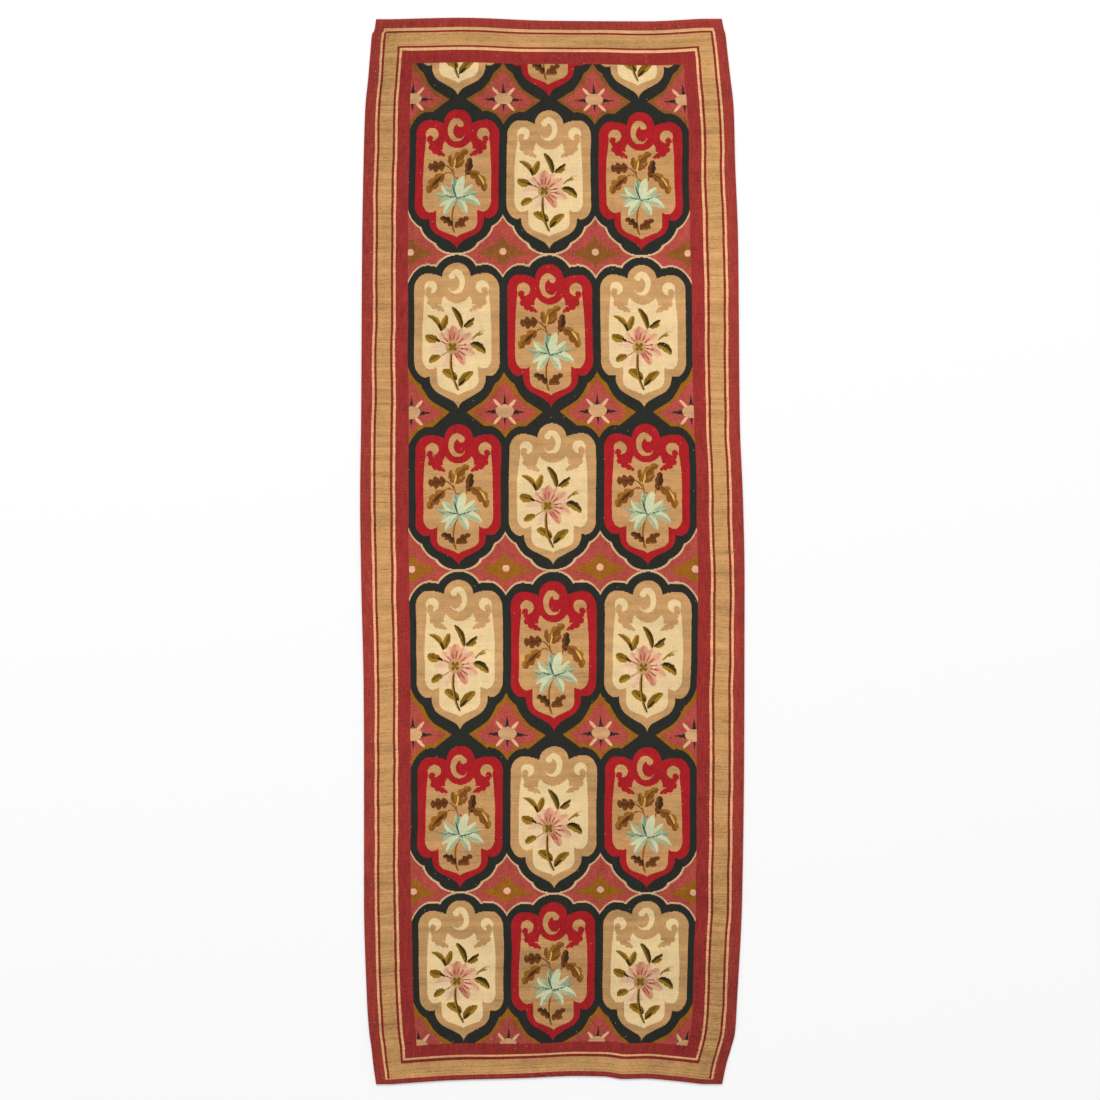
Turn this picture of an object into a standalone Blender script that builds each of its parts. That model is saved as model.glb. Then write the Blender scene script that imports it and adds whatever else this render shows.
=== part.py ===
"""Aubusson runner: one long flat-woven wool cloth with its four edges turned under as hems.

Metres, +Z up. X runs across the runner and Y runs along it, with the top of its design at +Y.
The underside lies flat at Z = 0, and the origin is under the middle of the outline's box.
The runner was woven by hand, so its sides draw in towards both ends and its ends are a little wavy.
"""

from bisect import bisect_right

import bmesh
import bpy

# Driving sizes
LENGTH = 3.135
WIDTH = 1.130
CLOTH_THICKNESS = 0.0030
HEM_THICKNESS = 0.0045
HEM_WIDTH = 0.026
HEM_STEP = 0.006
FOLD_ROUNDING = 0.0035
FOLD_EDGE_HEIGHT = 0.0024
FOLD_SHOULDER = 0.0012
FOLD_SHOULDER_HEIGHT = 0.0038
ROW_SPACING = 0.040
COLUMN_SPACING = 0.090

# How far each side lies from the centre line, at places along the runner
SIDE_COLUMNS = ("along", "left", "right")
SIDES = (
    (1.5675, 0.5180, 0.4980),
    (1.5340, 0.5232, 0.5050),
    (1.5240, 0.5300, 0.5085),
    (1.4790, 0.5342, 0.5136),
    (1.4020, 0.5405, 0.5224),
    (1.3020, 0.5500, 0.5332),
    (1.1500, 0.5548, 0.5372),
    (0.9140, 0.5590, 0.5460),
    (0.3850, 0.5622, 0.5510),
    (0.1500, 0.5650, 0.5605),
    (-0.0710, 0.5622, 0.5650),
    (-0.4000, 0.5548, 0.5645),
    (-0.6260, 0.5536, 0.5636),
    (-1.0260, 0.5536, 0.5578),
    (-1.3200, 0.5448, 0.5430),
    (-1.4140, 0.5383, 0.5372),
    (-1.4610, 0.5316, 0.5254),
    (-1.5080, 0.5264, 0.5116),
    (-1.5675, 0.5180, 0.4990),
)

# How far each end lies from the middle of the length, at places across the runner
TOP_COLUMNS = ("across", "top")
TOP_END = (
    (-0.5180, 1.5632),
    (-0.2860, 1.5675),
    (0.0050, 1.5587),
    (0.3200, 1.5570),
    (0.4990, 1.5645),
)
BOTTOM_COLUMNS = ("across", "bottom")
BOTTOM_END = (
    (-0.5180, -1.5675),
    (-0.3090, -1.5553),
    (-0.0740, -1.5490),
    (0.0400, -1.5440),
    (0.0840, -1.5430),
    (0.1800, -1.5445),
    (0.2430, -1.5520),
    (0.3100, -1.5505),
    (0.3990, -1.5565),
    (0.4990, -1.5668),
)

WOOL_COLOUR = (0.302, 0.032, 0.026, 1.0)
WOOL_ROUGHNESS = 0.95


def column(table, names, name):
    """One named column of a table, as a list."""
    place = names.index(name)
    return [row[place] for row in table]


def slopes(places, values):
    """Slopes for a smooth curve through the values that never runs past them."""
    steps = [
        (values[i + 1] - values[i]) / (places[i + 1] - places[i]) for i in range(len(places) - 1)
    ]
    inner = []
    for before, after in zip(steps, steps[1:]):
        same_way = before * after > 0
        inner.append(2 * before * after / (before + after) if same_way else 0.0)
    return [steps[0], *inner, steps[-1]]


def smooth_curve(places, values):
    """A function that reads a smooth curve through the values, held level past both ends."""
    if places[0] > places[-1]:
        places = places[::-1]
        values = values[::-1]
    slope = slopes(places, values)

    def read(place):
        place = min(max(place, places[0]), places[-1])
        i = min(bisect_right(places, place), len(places) - 1) - 1
        gap = places[i + 1] - places[i]
        t = (place - places[i]) / gap
        start = (1 + 2 * t) * (1 - t) ** 2 * values[i] + t * (1 - t) ** 2 * gap * slope[i]
        end = t * t * (3 - 2 * t) * values[i + 1] + t * t * (t - 1) * gap * slope[i + 1]
        return start + end

    return read


def spread(total, spacing):
    """Distances from one edge: close together over the hem, then even steps to the other hem."""
    hem = (0.0, FOLD_SHOULDER, FOLD_ROUNDING, HEM_WIDTH, HEM_WIDTH + HEM_STEP)
    inside = total - 2 * hem[-1]
    count = round(inside / spacing)
    even = [hem[-1] + inside * step / count for step in range(1, count)]
    return [*hem, *even, *(total - distance for distance in reversed(hem))]


def height_at(distance):
    """The top face's height at a distance from the nearest edge."""
    profile = (
        (0.0, FOLD_EDGE_HEIGHT),
        (FOLD_SHOULDER, FOLD_SHOULDER_HEIGHT),
        (FOLD_ROUNDING, HEM_THICKNESS),
        (HEM_WIDTH, HEM_THICKNESS),
        (HEM_WIDTH + HEM_STEP, CLOTH_THICKNESS),
    )
    for (near, near_height), (far, far_height) in zip(profile, profile[1:]):
        if distance <= far:
            return near_height + (far_height - near_height) * (distance - near) / (far - near)
    return CLOTH_THICKNESS


def outline():
    """Functions for the left and right sides and the top and bottom ends."""
    along = column(SIDES, SIDE_COLUMNS, "along")
    left = smooth_curve(along, column(SIDES, SIDE_COLUMNS, "left"))
    right = smooth_curve(along, column(SIDES, SIDE_COLUMNS, "right"))
    top = smooth_curve(
        column(TOP_END, TOP_COLUMNS, "across"),
        column(TOP_END, TOP_COLUMNS, "top"),
    )
    bottom = smooth_curve(
        column(BOTTOM_END, BOTTOM_COLUMNS, "across"),
        column(BOTTOM_END, BOTTOM_COLUMNS, "bottom"),
    )
    return left, right, top, bottom


def wool_material(name, colour, roughness):
    """A plain woven wool finish."""
    material = bpy.data.materials.new(name)
    material.use_nodes = True
    shader = material.node_tree.nodes["Principled BSDF"]
    shader.inputs["Base Color"].default_value = colour
    shader.inputs["Roughness"].default_value = roughness
    shader.inputs["Metallic"].default_value = 0.0
    return material


def runner(collection):
    """The woven cloth: a grid warped to the outline, raised at the hems, over a flat underside."""
    columns = spread(WIDTH, COLUMN_SPACING)
    rows = spread(LENGTH, ROW_SPACING)
    bpy.ops.mesh.primitive_grid_add(
        x_subdivisions=len(columns) - 1,
        y_subdivisions=len(rows) - 1,
        size=1.0,
    )
    cloth = bpy.context.object
    cloth.name = "runner"
    cloth.data.name = "runner"
    left, right, top, bottom = outline()
    for vertex in cloth.data.vertices:
        from_left = columns[vertex.index % len(columns)]
        from_bottom = rows[vertex.index // len(columns)]
        nominal_x = from_left - WIDTH / 2
        nominal_y = from_bottom - LENGTH / 2
        left_x = -left(nominal_y)
        low_y = bottom(nominal_x)
        x = left_x + (right(nominal_y) - left_x) * from_left / WIDTH
        y = low_y + (top(nominal_x) - low_y) * from_bottom / LENGTH
        nearest = min(from_left, WIDTH - from_left, from_bottom, LENGTH - from_bottom)
        vertex.co = (x, y, height_at(nearest))

    # The grid's rim is pulled down to the floor and closed with one flat underside
    body = bmesh.new()
    body.from_mesh(cloth.data)
    rim = [edge for edge in body.edges if edge.is_boundary]
    pulled = bmesh.ops.extrude_edge_only(body, edges=rim)["geom"]
    floor_rim = [part for part in pulled if isinstance(part, bmesh.types.BMEdge)]
    for vertex in (part for part in pulled if isinstance(part, bmesh.types.BMVert)):
        vertex.co.z = 0.0
    bmesh.ops.contextual_create(body, geom=floor_rim)
    bmesh.ops.recalc_face_normals(body, faces=body.faces)
    body.to_mesh(cloth.data)
    body.free()

    cloth.data.materials.append(wool_material("woven wool", WOOL_COLOUR, WOOL_ROUGHNESS))
    for owner in cloth.users_collection:
        owner.objects.unlink(cloth)
    collection.objects.link(cloth)
    return cloth


def main():
    for old in list(bpy.data.objects):
        bpy.data.objects.remove(old, do_unlink=True)
    parts = bpy.data.collections.new("Aubusson runner")
    bpy.context.scene.collection.children.link(parts)
    runner(parts)


main()
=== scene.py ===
"""The aubusson runner as it looks: one woven sheet on the CAD outline, lying on a pale floor.

The pattern is drawn by material nodes, one colour for each pass of weft over each rib. Each tile of
the field holds one cartouche, and the table rows below give the motifs' places in millimetres.
"""

from bisect import bisect_right
from math import pi

import bpy
import numpy as np
from bpy.props import FloatProperty, FloatVectorProperty, PointerProperty
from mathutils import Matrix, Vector, noise


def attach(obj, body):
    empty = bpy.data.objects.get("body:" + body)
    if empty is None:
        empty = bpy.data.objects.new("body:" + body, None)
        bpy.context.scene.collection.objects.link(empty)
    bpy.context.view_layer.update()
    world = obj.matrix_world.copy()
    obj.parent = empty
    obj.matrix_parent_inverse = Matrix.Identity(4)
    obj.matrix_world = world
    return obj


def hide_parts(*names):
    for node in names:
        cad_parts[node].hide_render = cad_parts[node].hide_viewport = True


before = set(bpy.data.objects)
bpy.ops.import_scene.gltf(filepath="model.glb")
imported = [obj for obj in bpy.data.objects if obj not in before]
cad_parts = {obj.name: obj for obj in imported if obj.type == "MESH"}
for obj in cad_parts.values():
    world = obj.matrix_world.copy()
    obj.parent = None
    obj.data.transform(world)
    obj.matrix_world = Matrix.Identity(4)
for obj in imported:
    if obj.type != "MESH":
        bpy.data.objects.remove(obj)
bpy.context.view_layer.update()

bl_info = {
    "name": "Aubusson runner",
    "version": (1, 0, 0),
    "blender": (4, 5, 0),
    "location": "View3D > Sidebar > Runner",
    "description": "Weaves a flat aubusson runner with a border and rows of flower cartouches",
    "category": "Add Mesh",
}

MM = 0.001

# The cloth's own sizes, in metres, as in the solid
LENGTH = 3.135
WIDTH = 1.130
CLOTH_THICKNESS = 0.0030
HEM_THICKNESS = 0.0045
HEM_WIDTH = 0.026
HEM_STEP = 0.006
FOLD_ROUNDING = 0.0035
FOLD_EDGE_HEIGHT = 0.0024
FOLD_SHOULDER = 0.0012
FOLD_SHOULDER_HEIGHT = 0.0038
HEM_PLACES = (0.0, FOLD_SHOULDER, FOLD_ROUNDING, HEM_WIDTH, HEM_WIDTH + HEM_STEP)
HEM_HEIGHTS = (
    FOLD_EDGE_HEIGHT, FOLD_SHOULDER_HEIGHT, HEM_THICKNESS, HEM_THICKNESS, CLOTH_THICKNESS,
)

# How far each side lies from the centre line, at places along the runner
SIDE_COLUMNS = ("along", "left", "right")
SIDES = (
    (1.5675, 0.5180, 0.4980),
    (1.5340, 0.5232, 0.5050),
    (1.5240, 0.5300, 0.5085),
    (1.4790, 0.5342, 0.5136),
    (1.4020, 0.5405, 0.5224),
    (1.3020, 0.5500, 0.5332),
    (1.1500, 0.5548, 0.5372),
    (0.9140, 0.5590, 0.5460),
    (0.3850, 0.5622, 0.5510),
    (0.1500, 0.5650, 0.5605),
    (-0.0710, 0.5622, 0.5650),
    (-0.4000, 0.5548, 0.5645),
    (-0.6260, 0.5536, 0.5636),
    (-1.0260, 0.5536, 0.5578),
    (-1.3200, 0.5448, 0.5430),
    (-1.4140, 0.5383, 0.5372),
    (-1.4610, 0.5316, 0.5254),
    (-1.5080, 0.5264, 0.5116),
    (-1.5675, 0.5180, 0.4990),
)

# How far each end lies from the middle of the length, at places across the runner
TOP_COLUMNS = ("across", "top")
TOP_END = (
    (-0.5180, 1.5632),
    (-0.2860, 1.5675),
    (0.0050, 1.5587),
    (0.3200, 1.5570),
    (0.4990, 1.5645),
)
BOTTOM_COLUMNS = ("across", "bottom")
BOTTOM_END = (
    (-0.5180, -1.5675),
    (-0.3090, -1.5553),
    (-0.0740, -1.5490),
    (0.0400, -1.5440),
    (0.0840, -1.5430),
    (0.1800, -1.5445),
    (0.2430, -1.5520),
    (0.3100, -1.5505),
    (0.3990, -1.5565),
    (0.4990, -1.5668),
)

# The border's bands, in metres from the cloth's edge: where each one ends at the sides, and where the
# same band ends at the top. The bottom has more cloth turned under, so it starts with the pale line.
BAND_COLUMNS = ("band", "side", "top", "bottom")
BANDS = (
    ("outer red", 0.0325, 0.0285, 0.0150),
    ("outer pale line", 0.0393, 0.0354, 0.0166),
    ("outer dark line", 0.0465, 0.0420, 0.0168),
    ("tan band", 0.0870, 0.0805, 0.0570),
    ("inner dark line", 0.0945, 0.0873, 0.0659),
    ("inner pale line", 0.1016, 0.0942, 0.0735),
    ("inner red", 0.1395, 0.1320, 0.1060),
)
BOTTOM_EDGE_BAND = 0.0170

# Rows of cartouches: the distance from the top end to each one's crown and to its tip
ROW_COLUMNS = ("crown", "tip")
ROWS = (
    (-0.1800, 0.2289),
    (0.2701, 0.6788),
    (0.7233, 1.1500),
    (1.1980, 1.6127),
    (1.6615, 2.1081),
    (2.1546, 2.5693),
    (2.6093, 3.0224),
)
COLUMNS = 3
COLUMN_PITCH = 0.2787

# One tile of the field, in millimetres from its middle, X across and Y up
TILE_HALF_WIDTH = 137.3
TILE_CROWN = 209.0
TILE_TIP = -213.5
TILE_TOP = 243.0
TILE_FOOT = -225.0

# How far the cartouches stray from even rows, in millimetres: to the right for a whole row, and down
# for each column, at places from the top end. The halves of one cartouche stray on their own.
DRIFT_COLUMNS = ("from_top", "right", "left_down", "middle_down", "right_down")
DRIFT = (
    (0.18, -3, 0, -3, -2),
    (0.36, -1, 1, -2, 0),
    (0.58, -3, 5, -1, 3),
    (0.82, -2, 0, 1, -2),
    (1.02, 0, 2, 0, -4),
    (1.29, 4, 2, -1, -4),
    (1.50, 2, 8, 5, 3),
    (1.76, 1, -5, 1, -3),
    (2.00, -1, -6, 1, -3),
    (2.26, 0, -6, 1, -2),
    (2.46, 0, -1, 5, 4),
    (2.70, 2, -4, 9, -1),
    (2.90, 3, -3, 9, 1),
)

# The mustard yarn changes at this height
UMBER_ABOVE = LENGTH / 2 - 0.95

# The floor lies a hair under the cloth, and the camera stands a little off the middle
FLOOR_DROP = 0.0002
FLOOR_SIZE = 40.0
LAMP_SIZE = (9.0, 7.0)
LAMP_PLACE = (-3.0, 18.0, 12.0)
CAMERA_PLACE = (-0.0068, 0.0029)
SENSOR_WIDTH = 36.0


def linear(code):
    """A colour's linear values from its usual six-figure code."""
    parts = [int(code[place:place + 2], 16) / 255 for place in (0, 2, 4)]
    return tuple(p / 12.92 if p <= 0.04045 else ((p + 0.055) / 1.055) ** 2.4 for p in parts)


def yarn(name, description, code):
    """A yarn colour that the sidebar shows."""
    return FloatVectorProperty(
        name=name, description=description, subtype="COLOR", size=3, min=0.0, max=1.0,
        default=linear(code),
    )


class RunnerYarns(bpy.types.PropertyGroup):
    outer_red: yarn("Outer red", "The band along the edge", "9d3930")
    inner_red: yarn("Inner red", "The plain band around the field", "992f2b")
    border_tan: yarn("Border tan", "The wide band of the border", "c8975f")
    pale_line: yarn("Pale line", "The pale stripes of the border", "e6b17c")
    dark_line: yarn("Dark line", "The dark stripes of the border", "8a2a22")
    black: yarn("Black", "The outlines of the cartouches", "292924")
    crimson: yarn("Crimson", "The band of the red cartouches", "a91c21")
    band_tan: yarn("Band tan", "The band of the cream cartouches", "c49661")
    panel_tan: yarn("Panel tan", "The ground of the red cartouches", "c5945f")
    cream: yarn("Cream", "The ground of the cream cartouches", "e8ca96")
    rose: yarn("Rose", "The ground between the cartouches", "ab483a")
    gold: yarn("Gold", "The mustard between the cartouches, lower rows", "996015")
    umber: yarn("Umber", "The mustard between the cartouches, upper rows", "8a5421")
    hairline: yarn("Hairline", "The pale outline of the black bands", "d7b184")


def length(name, description, default, smallest, largest):
    """A length that the sidebar shows."""
    return FloatProperty(
        name=name, description=description, default=default, min=smallest, max=largest,
        unit="LENGTH", precision=4,
    )


class RunnerWeave(bpy.types.PropertyGroup):
    rib: length("Rib spacing", "From one warp rib to the next", 0.0028, 0.001, 0.01)
    weft: length("Weft spacing", "From one weft pass to the next", 0.0011, 0.0005, 0.01)
    hatch: length("Hatch", "Width of the hatched passes where two grounds meet", 0.0030, 0.001, 0.02)
    wander: length("Wander", "How far the hand-woven outlines stray", 0.0008, 0.0, 0.01)
    mesh_step: length("Mesh step", "The size of the sheet's faces", 0.012, 0.004, 0.1)
    cockle: length("Cockle", "How high the cloth lifts in its shallow puckers", 0.0012, 0.0, 0.01)


class RunnerStage(bpy.types.PropertyGroup):
    camera_height: length("Camera height", "Above the floor", 12.0, 2.0, 100.0)
    view_width: length("View width", "Floor seen from side to side", 3.234, 0.5, 20.0)
    soft_light: FloatProperty(
        name="Soft light", description="Power of the broad lamp beyond the top end",
        default=2600.0, min=0.0,
    )
    sky: FloatProperty(
        name="Sky", description="Strength of the even light all around", default=0.72, min=0.0,
    )


# Leaves, petals and stems of the two sprays. A row is one shape woven from its base to its tip, in
# millimetres from the tile's middle. bend bows it to the left of its way, fullness is low for an even
# width and 1 for a lens, lobes notches its edge, and the two yarns are its left and its right half.
LEAF_COLUMNS = (
    "base_x", "base_y", "tip_x", "tip_y", "half_width", "bend", "fullness", "lobes", "left", "right",
)
YARN_CODES = {
    "mint": "a8b189", "pale mint": "cbcfa6", "teal": "70947c", "deep teal": "335a59",
    "straw": "cbb36e", "bronze": "9b631e", "amber": "b58231", "highlight": "dbb160",
    "bark": "6c3b17", "dark bark": "3d2917", "rust": "844f1d",
    "olive": "825c0e", "dark olive": "47350c", "soot": "251f12", "moss": "9f761f",
    "pink": "dc9c7a", "deep pink": "cb8066", "blush": "e4b792", "shell": "e8c79c",
    "madder": "a54b39", "sand": "c19462", "rosette": "cd9e70", "arm": "dfb388", "leafing": "d3bb7c",
}
BLUE_SPRAY = (
    (0, -60, -5, -164, 2.8, -11, 0.2, 0, "rust", "bronze"),
    (-13, -138, -5, -164, 2.6, -2, 0.3, 0, "rust", "bronze"),
    (-12, -142, -48, -114, 9.5, -4, 0.5, 0.6, "bark", "dark bark"),
    (-5, -146, 36, -116, 9, 3, 0.5, 0.6, "bark", "bark"),
    (-2, -140, 28, -141, 6.5, 0, 0.5, 0.2, "bark", "rust"),
    (-4, 0, -13, 34, 2.4, 3, 0.2, 0, "bronze", "rust"),
    (-14, 20, -36, 40, 2.0, -3, 0.2, 0, "rust", "bark"),
    (-14, 14, -43, 9, 2.2, -7, 0.2, 0, "bronze", "rust"),
    (-36, 42, -88, 37, 14, 2, 0.5, 0.7, "bark", "bark"),
    (-40, 14, -90, -38, 14, -4, 0.5, 0.55, "rust", "bronze"),
    (-48, 6, -74, -20, 5, -2, 0.7, 0, "dark bark", "bark"),
    (-14, 34, -22, 72, 8, 2, 0.5, 0.3, "rust", "bronze"),
    (-8, 34, 21, 56, 6.5, -3, 0.5, 0.4, "bronze", "rust"),
    (-15, 34, 30, 86, 12.5, 6, 0.45, 0.5, "bronze", "rust"),
    (-13, 30, -6, 61, 2.4, -2, 0.4, 0, "highlight", "highlight"),
    (25, 0, 29, 18, 1.8, 2, 0.2, 0, "bark", "rust"),
    (31, 10, 38, 63, 11, 0, 0.45, 0.3, "bark", "dark bark"),
    (28, 16, 46, 22, 2.2, 4, 0.2, 0, "bark", "rust"),
    (38, 22, 86, -36, 14, 8, 0.45, 0.5, "bronze", "rust"),
    (50, 17, 74, -18, 5, 4, 0.7, 0, "bark", "rust"),
    (62, 12, 80, -18, 2.8, 3, 0.6, 0, "highlight", "highlight"),
    (-1, -54, -66, -43, 7.5, 2, 0.7, 0, "teal", "mint"),
    (1, -55, 64, -40, 7.5, -2, 0.7, 0, "mint", "teal"),
    (-1, -53, -11, 9, 9, 3, 0.7, 0, "mint", "teal"),
    (12, -30, 21, 10, 7, 0, 0.8, 0, "straw", "straw"),
    (-1, -54, -47, -16, 11, 5, 0.7, 0, "pale mint", "mint"),
    (1, -54, 48, -17, 11, -5, 0.7, 0, "pale mint", "mint"),
    (0, -53, 16, 7, 12.5, 0, 0.7, 0, "pale mint", "pale mint"),
    (-1, -57, -38, -106, 10.5, -3, 0.7, 0, "mint", "pale mint"),
    (1, -57, 29, -104, 11, 3, 0.7, 0, "pale mint", "mint"),
    (-1, -55, -52, -79, 11.5, -6, 0.7, 0, "pale mint", "mint"),
    (1, -56, 70, -80, 12.5, 8, 0.7, 0, "pale mint", "mint"),
    (-1, -55, -14, -16, 2.6, 1, 0.5, 0, "deep teal", "deep teal"),
    (-2, -54, -36, -46, 2.2, 2, 0.5, 0, "deep teal", "teal"),
    (2, -56, 40, -46, 2.2, -2, 0.5, 0, "teal", "deep teal"),
    (-4, -60, 8, -62, 2.6, 3, 0.5, 0, "deep teal", "teal"),
)
FLOWER_RAYS = (
    (-24, -22, -36, -6, 2.0),
    (-18, -19, -21, 1, 2.0),
    (-11, -17, -7, 9, 2.0),
    (-4, -19, 7, 1, 2.0),
    (2, -24, 19, -10, 2.1),
    (5, -31, 29, -28, 2.1),
    (5, -38, 32, -43, 2.1),
    (2, -44, 26, -60, 2.1),
    (-2, -48, 16, -72, 2.1),
    (-8, -51, 2, -68, 1.9),
)
PINK_SPRAY = (
    (-2, -129, -45, -102, 12.5, -3, 0.5, 0.12, "moss", "olive"),
    (-2, -132, -26, -113, 2.8, -3, 0.5, 0, "soot", "soot"),
    (2, -147, 46, -107, 11.5, 4, 0.55, 0.12, "olive", "moss"),
    (1, -150, 24, -128, 3.2, 0, 0.5, 0, "soot", "soot"),
    (-46, 14, -88, 57, 7.5, -9, 0.55, 0.1, "olive", "moss"),
    (-46, 13, -30, 58, 9.5, -1, 0.55, 0.1, "moss", "olive"),
    (-46, 11, -54, 34, 4.4, -1, 0.5, 0, "soot", "dark olive"),
    (14, 19, -15, 81, 8.5, -6, 0.55, 0.1, "olive", "dark olive"),
    (24, 21, 50, 33, 5.5, 0, 0.6, 0.3, "olive", "moss"),
    (18, 22, 52, 48, 6.5, -1, 0.6, 0.2, "soot", "olive"),
    (62, 4, 87, 10, 7, 0, 0.6, 0, "leafing", "cream"),
    (44, -15, 73, 8, 2.8, 2, 0.3, 0, "olive", "moss"),
    (57, -4, 78, 3, 2.2, 0, 0.4, 0, "moss", "olive"),
    (-13, -34, -77, -37, 17, 0, 0.45, 0, "shell", "blush"),
    (-13, -36, -45, -90, 18, -3, 0.45, 0, "blush", "shell"),
    (-12, -38, -6, -92, 14, 0, 0.45, 0, "shell", "blush"),
    (-13, -33, -50, 6, 14, 3, 0.45, 0, "blush", "pink"),
    (-13, -32, -30, 20, 12, 2, 0.45, 0, "blush", "pink"),
    (-10, -34, 46, -30, 13, 0, 0.45, 0, "pink", "blush"),
    (-10, -36, 53, -60, 14, 4, 0.45, 0, "pink", "blush"),
    (-11, -38, 22, -86, 13, 3, 0.45, 0, "pink", "deep pink"),
    (-11, -32, 16, 18, 14, -2, 0.45, 0, "pink", "blush"),
    (-10, -33, 43, 2, 17, -3, 0.45, 0, "pink", "blush"),
    (-13, -32, -10, 27, 16, 0, 0.45, 0, "deep pink", "pink"),
    (-56, -13, -94, -3, 12.5, 2, 0.5, 0.12, "moss", "olive"),
    (-24, -30, -54, -16, 1.8, -2, 0.2, 0, "madder", "rust"),
    (-49, -18, -63, -10, 3.8, 0, 0.5, 0, "soot", "soot"),
    (-49, -60, -82, -78, 10, -3, 0.5, 0.12, "moss", "olive"),
    (-26, -46, -52, -62, 1.8, 1, 0.2, 0, "madder", "sand"),
    (40, -28, 84, -54, 11.5, 7, 0.6, 0.2, "dark olive", "moss"),
    (42, -25, 72, -31, 3.8, 5, 0.6, 0, "soot", "soot"),
    (-17, -52, 1, -161, 4.4, -9, 0.15, 0, "dark olive", "moss"),
    *((*ray, 0, 0.3, 0, "madder", "madder") for ray in FLOWER_RAYS),
)
RIM_LIGHT = linear("e6d4a8")
ROSE_LIGHT = linear("d05a62")
VEIN_DARK = linear("2a1c0c")
FLOWER_MIDDLE = (-13.0, -34.5)
FLOWER_RADIUS = 20.0

# The round lobes of the scroll leaf that hangs from each volute: middle and radius
LEAF_LOBES = (
    ((80, 111), 8.5),
    ((78, 95), 10.0),
    ((66, 84), 10.5),
    ((53, 77.5), 8.5),
    ((42, 73), 6.0),
    ((64, 98), 14.0),
)


def column(table, names, name):
    """One named column of a table, as a list."""
    place = names.index(name)
    return [row[place] for row in table]


def smooth_curve(places, values):
    """A function that reads a smooth curve through the values, held level past both ends."""
    if places[0] > places[-1]:
        places = places[::-1]
        values = values[::-1]
    steps = [
        (values[i + 1] - values[i]) / (places[i + 1] - places[i]) for i in range(len(places) - 1)
    ]
    slope = [steps[0]]
    for before, after in zip(steps, steps[1:]):
        slope.append(2 * before * after / (before + after) if before * after > 0 else 0.0)
    slope.append(steps[-1])

    def read(place):
        place = min(max(place, places[0]), places[-1])
        i = min(bisect_right(places, place), len(places) - 1) - 1
        gap = places[i + 1] - places[i]
        t = (place - places[i]) / gap
        start = (1 + 2 * t) * (1 - t) ** 2 * values[i] + t * (1 - t) ** 2 * gap * slope[i]
        end = t * t * (3 - 2 * t) * values[i + 1] + t * t * (t - 1) * gap * slope[i + 1]
        return start + end

    return read


def curve_of(table, names, along, name):
    """A smooth curve through two named columns of a table."""
    return smooth_curve(column(table, names, along), column(table, names, name))


class Wire:
    """A number in a node tree, so that sums over the surface read like plain Python."""

    def __init__(self, tree, socket):
        self.tree = tree
        self.socket = socket

    def math(self, operation, *others):
        node = self.tree.nodes.new("ShaderNodeMath")
        node.operation = operation
        for entry, value in zip(node.inputs, (self, *others)):
            feed(self.tree, entry, value)
        return Wire(self.tree, node.outputs[0])

    def __add__(self, other):
        return self.math("ADD", other)

    def __sub__(self, other):
        return self.math("SUBTRACT", other)

    def __mul__(self, other):
        return self.math("MULTIPLY", other)

    def __truediv__(self, other):
        return self.math("DIVIDE", other)

    def __pow__(self, other):
        return self.math("POWER", other)

    def __lt__(self, other):
        return self.math("LESS_THAN", other)

    def __gt__(self, other):
        return self.math("GREATER_THAN", other)

    def __abs__(self):
        return self.math("ABSOLUTE")

    def __neg__(self):
        return self.math("MULTIPLY", -1.0)

    def __and__(self, other):
        return self.math("MULTIPLY", other)

    def __or__(self, other):
        return self.math("MAXIMUM", other)

    def line(self, slope, start):
        """The number times the slope, plus the start."""
        return self.math("MULTIPLY_ADD", slope, start)

    def without(self, other):
        """This mask where the other one isn't."""
        return self * other.line(-1.0, 1.0)


def feed(tree, entry, value):
    """Sets or links one input."""
    if isinstance(value, Wire):
        tree.links.new(value.socket, entry)
    elif isinstance(value, bpy.types.NodeSocket):
        tree.links.new(value, entry)
    elif entry.type == "RGBA" and len(value) == 3:
        entry.default_value = (*value, 1.0)
    else:
        entry.default_value = value


def least(a, b):
    return a.math("MINIMUM", b)


def most(a, b):
    return a.math("MAXIMUM", b)


def ramp(a):
    """The number held between 0 and 1."""
    return least(most(a, 0.0), 1.0)


def square(a):
    return a.math("MULTIPLY", a)


def span(a, b):
    """The length of the vector (a, b)."""
    return (square(a) + square(b)).math("SQRT")


def oval(x, y, centre, radii):
    """A mask of one ellipse."""
    return span((x - centre[0]) / radii[0], (y - centre[1]) / radii[1]) < 1.0


def disc(x, y, centre, radius):
    """A mask of one circle."""
    return oval(x, y, centre, (radius, radius))


def rounded_corner(side, top, radius):
    """The distance to a corner where two edges meet, rounded off."""
    a = side + radius
    b = top + radius
    return span(most(a, 0.0), most(b, 0.0)) + least(most(a, b), 0.0) - radius


def slanted_corner(side, slope, slant, radius):
    """The same where the edges don't meet squarely: slant is the cosine between their normals."""
    a = side + radius
    b = slope + radius
    facing = (a > b * slant) & (b > a * slant)
    reach = ((square(a) + square(b) - a * b * (2 * slant)) / (1 - slant * slant)).math("SQRT")
    return most(most(a, b), facing * reach) - radius


def paint(tree, ground, mask, colour):
    """The ground with a colour laid over it where the mask is."""
    node = tree.nodes.new("ShaderNodeMix")
    node.data_type = "RGBA"
    node.clamp_factor = True
    feed(tree, node.inputs[0], mask)
    feed(tree, node.inputs[6], ground)
    feed(tree, node.inputs[7], colour)
    return node.outputs[2]


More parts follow.
